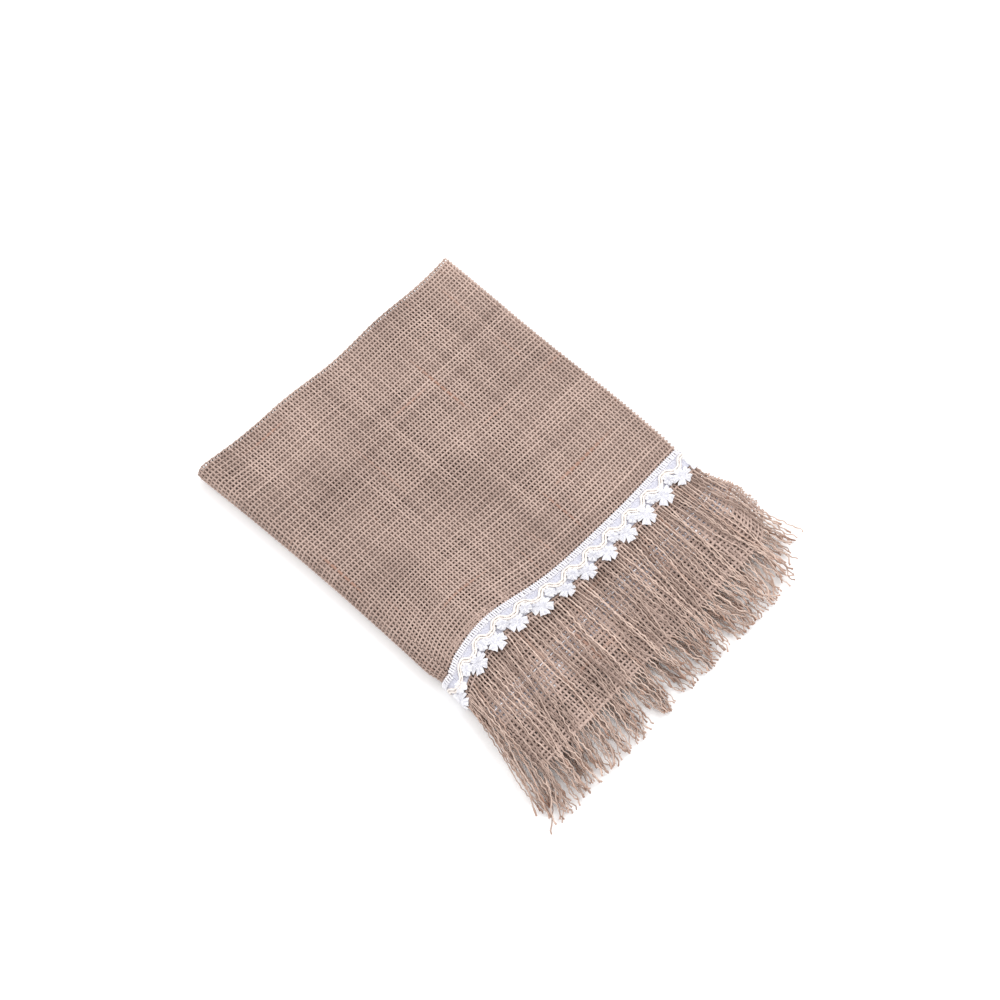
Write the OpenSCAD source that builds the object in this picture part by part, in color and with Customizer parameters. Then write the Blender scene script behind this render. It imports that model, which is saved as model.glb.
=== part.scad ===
// Fringed hessian table runner, folded in four crosswise and then in half lengthwise.
// X runs along the runner with the fringed ends at +X, Y runs across it with the lengthwise
// fold at -Y, and Z is up. The origin is under the middle of the folded runner, on the table.

/* [Cloth] */
// Width of the runner laid open
runner_w = 360; // [240:5:480]
// Length of the folded body, from the crosswise folds to the front end's edge
body_l = 192; // [130:1:280]
// How far the back end lies beyond the front end
back_reach = 48; // [40:1:70]
// Thickness of one ply of the cloth
ply_t = 1.0; // [0.6:0.05:1.6]
// Free space between two plies away from the trim
ply_gap = 0.52; // [0.4:0.02:1.2]
// Free space between two plies beside the trim
packed_gap = 0.15; // [0.15:0.05:0.4]
// Free space between the upper half and what belongs to the lower half
fold_gap = 0.15; // [0.1:0.05:0.4]

/* [Trim] */
// Width of the braid's whipped edge
edge_w = 2.8; // [1.6:0.1:5]
// Thickness of the whipped edge
edge_t = 0.9; // [0.6:0.1:1.2]
// Width of the braid's tape
tape_w = 9.4; // [7:0.1:13]
// Thickness of the tape
tape_t = 0.4; // [0.2:0.05:0.6]
// Width of the pair of wavy cords
wave_w = 1.2; // [0.8:0.1:2.4]
// Height of the wavy cords
wave_t = 1.0; // [0.6:0.1:1.2]
// How far the cords swing to each side of their line
wave_swing = 1.7; // [0.8:0.1:3]
// Number of waves, puffs and rosettes on one half of an end
repeats = 12; // [4:1:18]
// Radius of a gathered puff at its foot
puff_r = 1.5; // [0.8:0.1:2]
// Height of a puff
puff_t = 0.9; // [0.4:0.1:1.1]
// Radius of a rosette over its petals
rosette_r = 3.9; // [2.6:0.1:5]
// Height of a rosette
rosette_t = 1.0; // [0.5:0.1:1.1]
// Petals on a rosette
petals = 5; // [3:1:8]
// Width of the ribbon folded over the braid's end
end_wrap_w = 3.6; // [2:0.1:6]
// Height of the folded ribbon over the tape
end_wrap_t = 0.8; // [0.4:0.1:1.1]
// Distance from the back braid's rosettes to the back end's edge
back_inset = 23; // [1:0.5:24]
// Free space between two pieces of the braid
trim_gap = 0.15; // [0.05:0.05:0.5]

/* [Stitching] */
// Length of one stitch
stitch_l = 2.4; // [1:0.1:5]
// Width of the sewing thread
stitch_w = 0.5; // [0.3:0.05:0.8]
// Height of a stitch
stitch_t = 0.25; // [0.15:0.05:0.3]
// Distance between two stitches
stitch_pitch = 4.2; // [3:0.1:8]

/* [Fringe] */
// Length of the front end's fringe
front_fringe_l = 68; // [60:1:110]
// Length of the back end's fringe
back_fringe_l = 28; // [15:1:110]
// Thickness of the fringe
fringe_t = 0.8; // [0.4:0.05:1.2]
// Width of one lock of fringe at its root
lock_w = 6.4; // [3:0.1:12]
// Gap between two locks at the root
lock_gap = 0.5; // [0.3:0.1:2]
// How far the lock's outline narrows on each side by its tip
lock_taper = 1.2; // [0.2:0.1:2]
// How far a fringe drops from its cloth by its tips
fringe_drop = 1.1; // [0.4:0.05:1.2]
// How far the lower front fringe spreads sideways by the lengthwise fold
fringe_fan = 20; // [8:1:30]

/* [Hidden] */
HALVES = ["upper", "lower"];
ENDS = ["front", "back"];
CLOTH = ["front_panel", "front_mid_panel", "back_mid_panel", "back_panel",
         "outer_crossfold", "inner_crossfold", "middle_crossfold"];
END_PIECES = ["trim_tape", "trim_edge", "trim_wave_cords", "trim_puffs", "trim_rosettes",
              "trim_ribbon_end", "stitching", "fringe"];
ROLLS = ["front_panel_roll", "front_mid_panel_roll", "back_mid_panel_roll",
         "back_panel_roll", "front_trim_roll", "back_trim_roll"];

JUTE = [0.66, 0.55, 0.49];
JUTE_WRONG_SIDE = [0.60, 0.49, 0.43];
JUTE_FOLD = [0.56, 0.46, 0.40];
FRINGE = [0.70, 0.57, 0.48];
WHITE = [0.95, 0.95, 0.97];
LILAC = [0.80, 0.80, 0.87];
CREAM = [0.94, 0.91, 0.88];
$fn = 48;

// The braid, measured from its whipped edge along X and from the cloth upwards.
upper_z = tape_t + 0.05;
trim_t = upper_z + max(wave_t, puff_t, rosette_t, end_wrap_t, edge_t - upper_z) + 0.05;
wave_line = edge_w + 2 * trim_gap + stitch_w + wave_w / 2 + wave_swing;
rosette_line = wave_line + wave_swing + wave_w / 2 + trim_gap + rosette_r;
puff_line = wave_line - wave_swing + wave_w / 2 + trim_gap + puff_r * 1.5;
trim_w = max(rosette_line + rosette_r, edge_w + tape_w);
trim_repeat = (runner_w / 2 - end_wrap_w) / repeats;
petal_r = rosette_r * 0.42;

// The stack of four plies in one half, with the fold's axis between the halves.
packed_pitch = ply_t + packed_gap;
loose_pitch = ply_t + ply_gap;
axis_z = max(trim_t + 4 * packed_pitch, 4 * loose_pitch);
main_pitch = axis_z / 4;
packed_z0 = axis_z - 4 * packed_pitch;
function main_z(k) = k * main_pitch;
function packed_z(k) = packed_z0 + k * packed_pitch;

// The crosswise folds, seen from the side.
crossfold_z = (main_z(0) + main_z(3) + ply_t) / 2;
outer_r = crossfold_z - main_z(0);
inner_r = crossfold_z - main_z(1);
middle_z = (packed_z(2) + packed_z(3) + ply_t) / 2;
middle_r = middle_z - packed_z(2);

// Places along the runner, with the whole of it centred on the origin.
total_l = max(body_l + front_fringe_l, body_l + back_reach + back_fringe_l);
fold_x = -total_l / 2;
plies_x = fold_x + outer_r;
front_x = fold_x + body_l;
back_x = front_x + back_reach;
middle_x = front_x - middle_r - 1;
ramp_l = 6 * trim_t;
ramp_end_x = front_x - trim_w - 2;
ramp_x = ramp_end_x - ramp_l;

// The row of locks in one half's fringe, measured from the fold's axis.
flat_w = runner_w / 2 - PI * axis_z / 4;
lock_pitch = lock_w + lock_gap;
lock_count = floor((flat_w - fold_gap) / lock_pitch);
first_lock = fold_gap + (flat_w - fold_gap - lock_count * lock_pitch + lock_gap) / 2;

// Places across the runner. The middle of the rolled cloth is as long as the cloth is wide.
axis_y = (max(axis_z, fringe_fan - lock_taper - first_lock) - flat_w) / 2;
selvage_y = axis_y + flat_w;

// Steps along one wave of the cords.
WAVE_STEPS = 12;

// ---------------------------------------------------------------- halves and outlines

// Puts the lower half's shape in its own half, or mirrors it about the fold for the upper one.
module place_half(half) {
    if (half == "upper")
        translate([0, 0, 2 * axis_z]) mirror([0, 0, 1]) children();
    else
        children();
}

// Where a half's cloth starts beside the roll. The upper one keeps clear of the roll.
function start_y(half) = half == "upper" ? axis_y + fold_gap : axis_y;

// Extrudes a side view, drawn in X and Z, across a half.
module across_half(half) {
    translate([0, selvage_y, 0]) rotate([90, 0, 0])
        linear_extrude(selvage_y - start_y(half)) children();
}

// Turns a side view half a turn about the fold's axis.
module round_roll() {
    translate([0, axis_y, axis_z]) mirror([0, 1, 0]) rotate([0, 90, 0])
        rotate_extrude(angle = 180, $fn = 96) translate([axis_z, 0]) rotate(90) children();
}

// A strip of even height under a line of points.
module strip(points, t) {
    n = len(points);
    polygon(concat(points, [for (i = [n - 1:-1:0]) points[i] + [0, t]]));
}

// Side view of ply k, which rises beside the front end's braid.
module ply_outline(k, end_x) {
    strip([[plies_x, main_z(k)], [ramp_x, main_z(k)], [ramp_end_x, packed_z(k)],
           [end_x, packed_z(k)]], ply_t);
}

// Side view of a fold, as half a ring of the cloth's thickness.
module fold_outline(x, z, r, side) {
    translate([x, z]) difference() {
        circle(r);
        circle(r - ply_t);
        translate([side > 0 ? -2 * r : 0, -2 * r]) square([2 * r, 4 * r]);
    }
}

module outer_fold_outline() fold_outline(plies_x, crossfold_z, outer_r, -1);
module inner_fold_outline() fold_outline(plies_x, crossfold_z, inner_r, -1);
module middle_fold_outline() fold_outline(middle_x, middle_z, middle_r, 1);

// ---------------------------------------------------------------- cloth

module front_panel(half) place_half(half) color(JUTE)
    across_half(half) ply_outline(0, front_x);

module back_panel(half) place_half(half) color(JUTE_WRONG_SIDE)
    across_half(half) ply_outline(1, back_x);

module back_mid_panel(half) place_half(half) color(JUTE)
    across_half(half) ply_outline(2, middle_x);

module front_mid_panel(half) place_half(half) color(JUTE_WRONG_SIDE)
    across_half(half) ply_outline(3, middle_x);

module outer_crossfold(half) place_half(half) color(JUTE_FOLD)
    across_half(half) outer_fold_outline();

module inner_crossfold(half) place_half(half) color(JUTE_FOLD)
    across_half(half) inner_fold_outline();

module middle_crossfold(half) place_half(half) color(JUTE_FOLD)
    across_half(half) middle_fold_outline();

module front_panel_roll() color(JUTE) round_roll() {
    union() {
        ply_outline(0, front_x);
        outer_fold_outline();
    }
}

module front_mid_panel_roll() color(JUTE_FOLD) round_roll() {
    union() {
        ply_outline(3, middle_x);
        middle_fold_outline();
    }
}

module back_mid_panel_roll() color(JUTE_FOLD) round_roll() {
    union() {
        ply_outline(2, middle_x);
        inner_fold_outline();
    }
}

module back_panel_roll() color(JUTE_WRONG_SIDE) round_roll() ply_outline(1, back_x);

// ---------------------------------------------------------------- braid

// Where an end's braid starts, at its whipped edge, and the height of the cloth's right side.
// The front end's right side faces out of the stack, and the back end's faces into it.
function braid_x(end) = end == "front" ? front_x - trim_w : back_x - back_inset - trim_w;
function right_side_z(end) = end == "front" ? packed_z(0) : packed_z(1) + ply_t;

// Moves a piece of braid, drawn with its foot on Z = 0, to the right side of its end.
module on_end(half, end) {
    place_half(half) translate([braid_x(end), 0, right_side_z(end)])
        if (end == "front")
            mirror([0, 0, 1]) children();
        else
            children();
}

// Middle of each repeat, from the fold to the ribbon at the selvage.
function repeat_y(i) = selvage_y - end_wrap_w - (i + 0.5) * trim_repeat;
flat_repeats = [for (i = [0:repeats - 1])
    if (repeat_y(i) - trim_repeat / 2 > axis_y + rosette_r) i];

module trim_tape(half, end) on_end(half, end) color(LILAC)
    translate([edge_w, start_y(half), 0])
        cube([tape_w, selvage_y - start_y(half), tape_t]);

module trim_edge(half, end) on_end(half, end) color(WHITE)
    for (row = [0, 1])
        translate([edge_w * (1 + 2 * row) / 4, start_y(half), min(edge_t, edge_w / 2) / 2])
            rotate([-90, 0, 0])
                cylinder(d = min(edge_t, edge_w / 2), h = selvage_y - start_y(half));

// One wavy line of the braid's width, from the roll to the end ribbon.
function wave_x(y) = wave_line + wave_swing * cos(360 * (y - repeat_y(0)) / trim_repeat);
module wave_outline(from_y, to_y, width) {
    steps = ceil((to_y - from_y) / trim_repeat * WAVE_STEPS);
    ys = [for (i = [0:steps]) from_y + (to_y - from_y) * i / steps];
    polygon(concat([for (y = ys) [wave_x(y) - width / 2, y]],
                   [for (i = [steps:-1:0]) [wave_x(ys[i]) + width / 2, ys[i]]]));
}

module trim_wave_cords(half, end) on_end(half, end) color(CREAM)
    translate([0, 0, tape_t]) linear_extrude(wave_t)
        wave_outline(start_y(half), selvage_y - end_wrap_w - trim_gap, wave_w);

// A gathered puff fills each hollow of the wave on the fringe's side.
module trim_puffs(half, end) on_end(half, end) color(WHITE)
    for (i = flat_repeats)
        translate([puff_line, repeat_y(i) - trim_repeat / 2, tape_t])
            cylinder(r1 = puff_r, r2 = puff_r * 0.6, h = puff_t);

// One ribbon rosette, a ring of round petals about a button.
module rosette() {
    cylinder(r = petal_r, h = rosette_t);
    for (p = [0:petals - 1])
        rotate(360 * p / petals)
            translate([rosette_r - petal_r, 0, 0]) cylinder(r = petal_r, h = rosette_t);
}

module trim_rosettes(half, end) on_end(half, end) color(WHITE)
    for (i = flat_repeats)
        translate([rosette_line, repeat_y(i), upper_z]) rosette();

module trim_ribbon_end(half, end) on_end(half, end) color(WHITE)
    translate([edge_w + trim_gap, selvage_y - end_wrap_w, upper_z])
        cube([trim_w - edge_w - trim_gap, end_wrap_w, end_wrap_t]);

// Side view of the braid, with its whipped edge, its tape and what stands on the tape.
module trim_outline() {
    square([edge_w, edge_t]);
    square([edge_w + tape_w, tape_t]);
    translate([wave_line - wave_swing, tape_t])
        square([trim_w - wave_line + wave_swing, trim_t - tape_t - 0.1]);
}

module front_trim_roll() color(WHITE) round_roll()
    translate([braid_x("front"), right_side_z("front")]) mirror([0, 1]) trim_outline();

module back_trim_roll() color(WHITE) round_roll()
    translate([braid_x("back"), right_side_z("back")]) trim_outline();

// A row of stitches of sewing thread along the braid's inner side. The front end's lie on the
// tape. The back end's show on the cloth's wrong side, which faces out there.
stitch_count = floor((flat_w - end_wrap_w - stitch_pitch) / stitch_pitch);
module stitch_row(half, t)
    for (i = [0:stitch_count - 1])
        translate([edge_w + trim_gap, start_y(half) + stitch_pitch * (i + 0.5), 0])
            cube([stitch_w, stitch_l, t]);

module stitching(half, end) on_end(half, end) color(WHITE)
    if (end == "front")
        translate([0, 0, tape_t]) stitch_row(half, stitch_t);
    else
        translate([0, 0, -ply_t]) mirror([0, 0, 1])
            stitch_row(half, min(stitch_t, packed_gap - 0.03));

// ---------------------------------------------------------------- fringe

// Outlines of a row of locks, seen from above, that may spread sideways towards the fold.
function lock_length(i, length) = length * (0.93 + 0.07 * cos(137.5 * i));
module lock_outlines(x, length, fan) {
    for (i = [0:lock_count - 1]) {
        spread = fan * pow(1 - i / lock_count, 3);
        translate([x, axis_y + first_lock + i * lock_pitch])
            polygon([[0, 0], [lock_length(i, length), lock_taper - spread],
                     [lock_length(i + 3, length), lock_w - lock_taper - spread],
                     [0, lock_w]]);
    }
}

// A fringe is its side view, cut into locks.
module fringe(half, x, length, points, fan = 0) place_half(half) color(FRINGE)
    intersection() {
        translate([0, 0, -1]) linear_extrude(axis_z + 1) lock_outlines(x, length, fan);
        translate([0, selvage_y, 0]) rotate([90, 0, 0])
            linear_extrude(flat_w + fan) strip(points, fringe_t);
    }

// Side views. The front fringe lies on the back panel and drops past its edge in the upper
// half, and drops straight to the table in the lower half.
table_gap = 0.1;
back_root_z = packed_z(1) + (ply_t - fringe_t) / 2;
function front_fringe_side(half) = half == "upper"
    ? [[front_x, packed_z(0)], [back_x + 2, packed_z(0)],
       [front_x + front_fringe_l, packed_z(0) + 0.9 * fringe_drop]]
    : [[front_x, packed_z(0)], [front_x + 8, table_gap], [front_x + front_fringe_l, table_gap]];
function back_fringe_side(half) =
    [[back_x, back_root_z], [back_x + 2, back_root_z],
     [back_x + back_fringe_l, back_root_z + fringe_drop * (half == "upper" ? 2 : -1)]];

module front_fringe(half)
    fringe(half, front_x, front_fringe_l, front_fringe_side(half),
           half == "lower" ? fringe_fan : 0);
module back_fringe(half) fringe(half, back_x, back_fringe_l, back_fringe_side(half));

// ---------------------------------------------------------------- assembly

for (half = HALVES) {
    front_panel(half);
    front_mid_panel(half);
    back_mid_panel(half);
    back_panel(half);
    outer_crossfold(half);
    inner_crossfold(half);
    middle_crossfold(half);
    front_fringe(half);
    back_fringe(half);
}
for (half = HALVES, end = ENDS) {
    trim_tape(half, end);
    trim_edge(half, end);
    trim_wave_cords(half, end);
    trim_puffs(half, end);
    trim_rosettes(half, end);
    trim_ribbon_end(half, end);
    stitching(half, end);
}
front_panel_roll();
front_mid_panel_roll();
back_mid_panel_roll();
back_panel_roll();
front_trim_roll();
back_trim_roll();
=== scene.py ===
import math

import bpy
import mathutils
import numpy as np
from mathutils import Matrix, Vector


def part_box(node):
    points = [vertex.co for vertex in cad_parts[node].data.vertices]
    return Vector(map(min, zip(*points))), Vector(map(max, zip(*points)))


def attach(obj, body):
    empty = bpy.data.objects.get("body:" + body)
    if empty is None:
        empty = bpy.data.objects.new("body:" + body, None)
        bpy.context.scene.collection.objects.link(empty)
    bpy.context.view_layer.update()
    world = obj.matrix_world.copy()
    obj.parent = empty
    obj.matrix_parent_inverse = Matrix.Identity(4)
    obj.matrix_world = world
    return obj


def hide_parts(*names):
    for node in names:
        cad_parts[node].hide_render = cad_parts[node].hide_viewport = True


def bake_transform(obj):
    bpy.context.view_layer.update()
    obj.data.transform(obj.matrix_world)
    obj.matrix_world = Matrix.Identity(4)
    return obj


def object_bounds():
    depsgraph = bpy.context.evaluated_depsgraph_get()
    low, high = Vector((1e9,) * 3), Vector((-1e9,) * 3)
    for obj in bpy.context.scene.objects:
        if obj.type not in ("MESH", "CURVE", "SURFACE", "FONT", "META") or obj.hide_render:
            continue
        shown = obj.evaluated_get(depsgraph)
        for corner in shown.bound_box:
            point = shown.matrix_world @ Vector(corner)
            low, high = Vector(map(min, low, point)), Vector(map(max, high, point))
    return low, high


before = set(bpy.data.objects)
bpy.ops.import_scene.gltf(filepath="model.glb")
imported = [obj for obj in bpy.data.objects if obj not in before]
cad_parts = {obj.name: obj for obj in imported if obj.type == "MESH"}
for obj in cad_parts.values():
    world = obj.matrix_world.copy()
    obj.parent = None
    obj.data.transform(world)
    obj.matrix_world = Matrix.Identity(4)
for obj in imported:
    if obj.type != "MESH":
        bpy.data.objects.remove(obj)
cad_low, cad_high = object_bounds()
scene = bpy.context.scene
MM = 0.001

# ---------------------------------------------------------------- the stage
# The runner lies folded on a plain white table top, under a large soft light from above and a
# smaller one from the left, as for a catalogue.
scene.view_settings.view_transform = "Standard"
camera_azimuth, camera_elevation = math.radians(42.9), math.radians(62.0)
camera_distance = 1.137
camera_target = np.array([-7.1, 11.1, 7.7]) * MM
towards_camera = np.array([math.sin(camera_azimuth) * math.cos(camera_elevation),
                           -math.cos(camera_azimuth) * math.cos(camera_elevation),
                           math.sin(camera_elevation)])


def new_object(name, data):
    made = bpy.data.objects.new(name, data)
    scene.collection.objects.link(made)
    return made


camera_data = bpy.data.cameras.new("camera")
camera_data.lens = 79.2
camera_data.sensor_width = 36
camera = new_object("camera", camera_data)
camera.location = camera_target + camera_distance * towards_camera
camera.rotation_euler = (math.pi / 2 - camera_elevation, 0, camera_azimuth)
scene.camera = camera


def add_light(name, place, watts):
    """A square light 0.9 m wide that shines on the middle of the runner."""
    data = bpy.data.lights.new(name, "AREA")
    data.size = 0.9
    data.energy = watts
    lamp = new_object(name, data)
    lamp.location = place
    lamp.rotation_euler = (-mathutils.Vector(place)).to_track_quat("-Z", "Y").to_euler()


add_light("soft_light", (0.05, 0.7, 0.8), 7)
add_light("side_light", (-0.7, -0.6, 0.8), 6)

scene.world = bpy.data.worlds.new("studio")
scene.world.use_nodes = True
daylight = scene.world.node_tree.nodes["Background"].inputs
daylight["Color"].default_value = (1.0, 1.0, 1.0, 1.0)
daylight["Strength"].default_value = 0.95

table_z = -0.3 * MM
table_mesh = bpy.data.meshes.new("table_top")
table_mesh.from_pydata([(x, y, table_z) for x, y in ((-3, -3), (3, -3), (3, 3), (-3, 3))],
                       [], [(0, 1, 2, 3)])
table_paint = bpy.data.materials.new("table_top")
table_paint.use_nodes = True
table_shader = table_paint.node_tree.nodes["Principled BSDF"].inputs
table_shader["Base Color"].default_value = (0.97, 0.97, 0.975, 1)
table_shader["Roughness"].default_value = 0.9
table_mesh.materials.append(table_paint)
new_object("table_top", table_mesh)


# ---------------------------------------------------------------- the woven cloth
# One length of open-weave jute hessian makes the whole runner. It is folded in four crosswise
# and then in half lengthwise, so each half is a pile of four plies joined by three folds.
# The plies are laid by measuring along the cloth, and then woven yarn by yarn.
panel_low, panel_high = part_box("lower_front_panel")
outer_low, outer_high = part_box("lower_outer_crossfold")
inner_low, inner_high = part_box("lower_inner_crossfold")
small_low, small_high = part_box("lower_middle_crossfold")
roll_low, roll_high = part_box("front_panel_roll")

ply_t = 1.0 * MM
fold_y = roll_low[1]
axis_y = roll_high[1]
axis_z = roll_high[2] / 2
selvage_y = panel_high[1]
flat_w = selvage_y - axis_y
plies_x = panel_low[0]
front_x = panel_high[0]
back_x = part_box("lower_back_panel")[1][0]
middle_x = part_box("lower_front_mid_panel")[1][0]
packed_pitch = 1.15 * MM
packed_z0 = axis_z - 4 * packed_pitch
trim_low, trim_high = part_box("lower_front_trim_edge")
ramp_end_x = trim_low[0] - 2 * MM
ramp_x = ramp_end_x - 9 * MM
outer_r = (outer_high[2] - outer_low[2] - ply_t) / 2
inner_r = (inner_high[2] - inner_low[2] - ply_t) / 2
small_r = (small_high[2] - small_low[2] - ply_t) / 2
crossfold_z = (outer_low[2] + outer_high[2]) / 2
small_z = (small_low[2] + small_high[2]) / 2


def smooth_step(t):
    t = np.clip(t, 0, 1)
    return t * t * (3 - 2 * t)


def ply_height(k, x):
    """Height of the middle of ply k in the lower half, which rises beside the front braid."""
    rise = smooth_step((x - ramp_x) / (ramp_end_x - ramp_x))
    low, high = k * axis_z / 4, packed_z0 + k * packed_pitch
    return low + (high - low) * rise + ply_t / 2


def bend(x, height, radius, angle, side):
    """A point on a fold of the cloth, as an arc about x and height."""
    return x + side * radius * np.sin(angle), height + radius * np.cos(angle)


def side_view(run, s):
    """Where a point s along one run of the cloth lies, as x and height, and the run's outward
    direction there. The four runs follow each other from the front end to the back end."""
    if run == "front":
        straight = front_x - plies_x
        x, height = front_x - s, ply_height(0, front_x - s)
        angle = math.pi + np.maximum(s - straight, 0) / outer_r
        fold_x, fold_height = bend(plies_x, crossfold_z, outer_r, angle, 1)
        out_x, out_height = np.sin(angle), np.cos(angle)
    elif run == "front_mid":
        straight = middle_x - plies_x
        x, height = plies_x + s, ply_height(3, plies_x + s)
        angle = np.maximum(s - straight, 0) / small_r
        fold_x, fold_height = bend(middle_x, small_z, small_r, angle, 1)
        out_x, out_height = np.sin(angle), np.cos(angle)
    elif run == "back_mid":
        straight = middle_x - plies_x
        x, height = middle_x - s, ply_height(2, middle_x - s)
        angle = np.maximum(s - straight, 0) / inner_r
        fold_x, fold_height = bend(plies_x, crossfold_z, inner_r, angle, -1)
        out_x, out_height = np.sin(angle), -np.cos(angle)
    else:
        straight = 10.0
        x, height = plies_x + s, ply_height(1, plies_x + s)
        fold_x, fold_height = x, height
        out_x, out_height = 0 * s, 1 + 0 * s
    folded = s > straight
    return (np.where(folded, fold_x, x), np.where(folded, fold_height, height),
            out_x, out_height)


def settle(points):
    """The soft lie of the whole pile: its edges draw in a little, its top is uneven, and the
    layers that reach out past the braid sink towards the table."""
    x, y, z = points.T
    end_hollow, end_reach = 2.6 * MM, 70 * MM
    side_hollow, side_reach = 2.2 * MM, 60 * MM
    across = np.clip((y - fold_y) / (selvage_y - fold_y), 0, 1)
    along = np.clip((x - cad_low[0]) / (front_x - cad_low[0]), 0, 1)
    near_end = smooth_step((cad_low[0] + end_reach - x) / end_reach)
    near_side = smooth_step((fold_y + side_reach - y) / side_reach)
    from_fold = np.clip((y - axis_y) / flat_w, 0, 1)
    far_corner = from_fold * (1 - along)
    new_x = x + end_hollow * np.sin(math.pi * across) * near_end + 3.1 * MM * far_corner
    new_x += 0.7 * MM * np.sin(y * 95 + 0.6) * smooth_step((-60 * MM - x) / (70 * MM))
    new_y = y + side_hollow * np.sin(math.pi * along) * near_side + 2.9 * MM * far_corner
    new_y -= 1.8 * MM * from_fold * along
    uneven = (0.55 * np.sin(x * 38 + y * 21 + 0.4) + 0.4 * np.sin(x * 17 - y * 46 + 1.3)
              + 0.25 * np.sin(x * 71 + y * 63 + 2.2))
    sink = 0.26 * smooth_step((x - front_x - 4 * MM) / (46 * MM))
    new_z = z * (1 + uneven * 0.75 * MM / (2 * axis_z)) * (1 - sink)
    return np.stack([new_x, new_y, new_z], -1)


ply_order = {"front": 0, "back": 1, "back_mid": 2, "front_mid": 3}
roll_radius = {run: axis_z * (1 - k / 4) - ply_t / 2 for run, k in ply_order.items()}
# How far each run's selvage lies out of line, and how the two back corners are skewed towards
# the fringe, pulled in at the tip and flared sideways.
edge_shift = {"front": 0.4 * MM, "front_mid": -0.7 * MM, "back_mid": -0.3 * MM,
              "back": 0.1 * MM}
back_corner = {"upper": (2.5 * MM, 12 * MM, 7.0 * MM), "lower": (1.0 * MM, 5 * MM, 2.0 * MM)}


def lay(half, run, s, along, lift, settled=True):
    """Points s along a run of the cloth and so far from the lengthwise fold, lifted off the
    middle of the cloth. Less than nothing along is round the roll, from the lower half."""
    s, along, lift = np.broadcast_arrays(*[np.asarray(v, float) for v in (s, along, lift)])
    x, height, out_x, out_height = side_view(run, s)
    x = x + out_x * lift
    height = height + out_height * lift
    radius = np.maximum(axis_z - height, 0.05 * MM)
    turn = np.minimum(along, 0) / roll_radius[run]
    y = axis_y + np.maximum(along, 0) + radius * np.sin(turn)
    z = axis_z - radius * np.cos(turn)
    from_roll = y - fold_y
    if run == "front" and half == "upper":
        bow_depth, bow_middle, bow_w = 8.2 * MM, 38 * MM, 32 * MM
        bow = bow_depth * np.exp(-((from_roll - bow_middle) / bow_w) ** 2)
        bow = bow * smooth_step(from_roll / (16 * MM))
        bow += 1.7 * MM * smooth_step((from_roll - 130 * MM) / (50 * MM))
        x = x - bow * smooth_step((x - front_x + 95 * MM) / (80 * MM))
    if run == "back":
        skew, pulled_in, flare = back_corner[half]
        past_braid = smooth_step((x - front_x) / (40 * MM))
        corner = smooth_step((from_roll - 166 * MM) / (16 * MM)) * past_braid
        flared = smooth_step((from_roll - 146 * MM) / (36 * MM)) * smooth_step(
            (x - front_x) / (30 * MM))
        x = x + skew * past_braid - pulled_in * corner
        y = y + flare * flared - 1.5 * MM * corner
    sign = 1 if half == "upper" else -1
    near_edge = smooth_step((along - flat_w + 40 * MM) / (40 * MM))
    y = y + sign * edge_shift[run] * near_edge * (0.5 + np.sin(x * 40 + sign))
    if half == "upper":
        z = 2 * axis_z - z
    points = np.stack([x, y, z], -1).reshape(-1, 3)
    return settle(points) if settled else points


class Link:
    """A socket in a node tree, so that a pattern's sums are written as plain expressions."""

    def __init__(self, tree, socket):
        self.tree = tree
        self.socket = socket

    def sum(self, operation, first, second):
        vector = "VECTOR" in [v.socket.type for v in (first, second) if isinstance(v, Link)]
        kind = "ShaderNodeVectorMath" if vector else "ShaderNodeMath"
        made = self.tree.nodes.new(kind)
        made.operation = operation
        for socket, value in zip(made.inputs, (first, second)):
            if isinstance(value, Link):
                self.tree.links.new(value.socket, socket)
            else:
                socket.default_value = (value,) * 3 if vector else value
        return Link(self.tree, made.outputs[0])

    def __add__(self, other):
        return self.sum("ADD", self, other)

    def __radd__(self, other):
        return self.sum("ADD", other, self)

    def __sub__(self, other):
        return self.sum("SUBTRACT", self, other)

    def __rsub__(self, other):
        return self.sum("SUBTRACT", other, self)

    def __mul__(self, other):
        return self.sum("MULTIPLY", self, other)

    def __rmul__(self, other):
        return self.sum("MULTIPLY", other, self)

    def __truediv__(self, other):
        return self.sum("DIVIDE", self, other)


def node(tree, kind, settings=None, inputs=None, output=0):
    """One node of any kind: its settings first, then its sockets' values or links."""
    made = tree.nodes.new(kind)
    for name, value in (settings or {}).items():
        setattr(made, name, value)
    for name, value in (inputs or {}).items():
        if isinstance(value, Link):
            tree.links.new(value.socket, made.inputs[name])
        else:
            made.inputs[name].default_value = value
    return Link(tree, made.outputs[output])


def combined(tree, x=0.0, y=0.0, z=0.0):
    return node(tree, "ShaderNodeCombineXYZ", None, {0: x, 1: y, 2: z})


def noise(tree, place, scale, detail, roughness=0.5):
    return node(tree, "ShaderNodeTexNoise", None,
                {"Vector": place, "Scale": scale, "Detail": detail, "Roughness": roughness})


def blend_colours(tree, amount, first, second):
    return node(tree, "ShaderNodeMix", {"data_type": "RGBA"},
                {0: amount, 6: first, 7: second}, 2)


def new_paint(name):
    """A new material, its nodes, and the place on the object."""
    paint = bpy.data.materials.new(name)
    paint.use_nodes = True
    return paint, paint.node_tree, node(paint.node_tree, "ShaderNodeTexCoord", output="Object")


def finish_paint(paint, body, roughness, specular, grain, strength, depth):
    """Gives a material its colour and shine, and raises its grain."""
    tree = paint.node_tree
    shader = tree.nodes["Principled BSDF"].inputs
    shader["Roughness"].default_value = roughness
    shader["Specular IOR Level"].default_value = specular
    bump = node(tree, "ShaderNodeBump", None,
                {"Height": grain, "Strength": strength, "Distance": depth})
    tree.links.new(body.socket, shader["Base Color"])
    tree.links.new(bump.socket, shader["Normal"])
    return paint


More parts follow.
